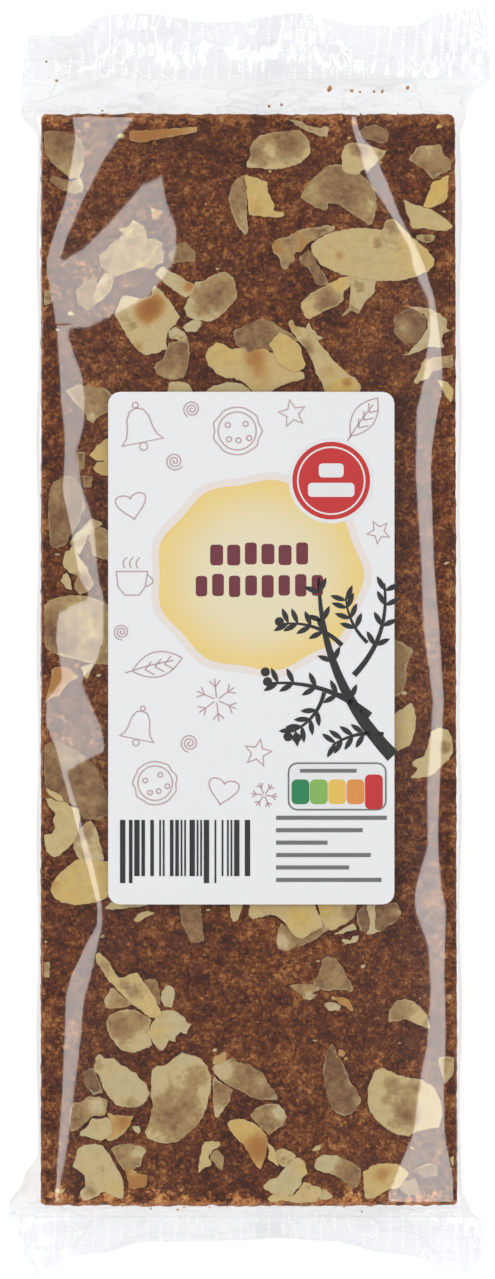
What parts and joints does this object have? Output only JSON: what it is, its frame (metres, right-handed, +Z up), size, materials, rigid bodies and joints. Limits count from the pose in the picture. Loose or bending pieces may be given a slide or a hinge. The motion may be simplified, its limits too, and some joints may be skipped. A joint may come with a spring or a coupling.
{
  "type": "filled speculaas bar",
  "caption": "Flat rectangular spiced biscuit bar with almond flakes, sealed in a clear film pack with a crimped fin at each end and a rounded label on top.",
  "frame": {"origin": "on the surface that the pack lies on, under the middle of its bounding box", "axes": "+Y along the bar, to the end with the longer fin; +X across it, to the picture's right; +Z up, out of the label"},
  "size_m": [0.0899, 0.2364, 0.0179],
  "materials": {
    "filmed_biscuit": "brown biscuit seen through clear glossy film",
    "label_paper": "smooth white printed label"
  },
  "bodies": {
    "root": {"film_pack": "filmed_biscuit", "label": "label_paper"}
  },
  "joints": []
}
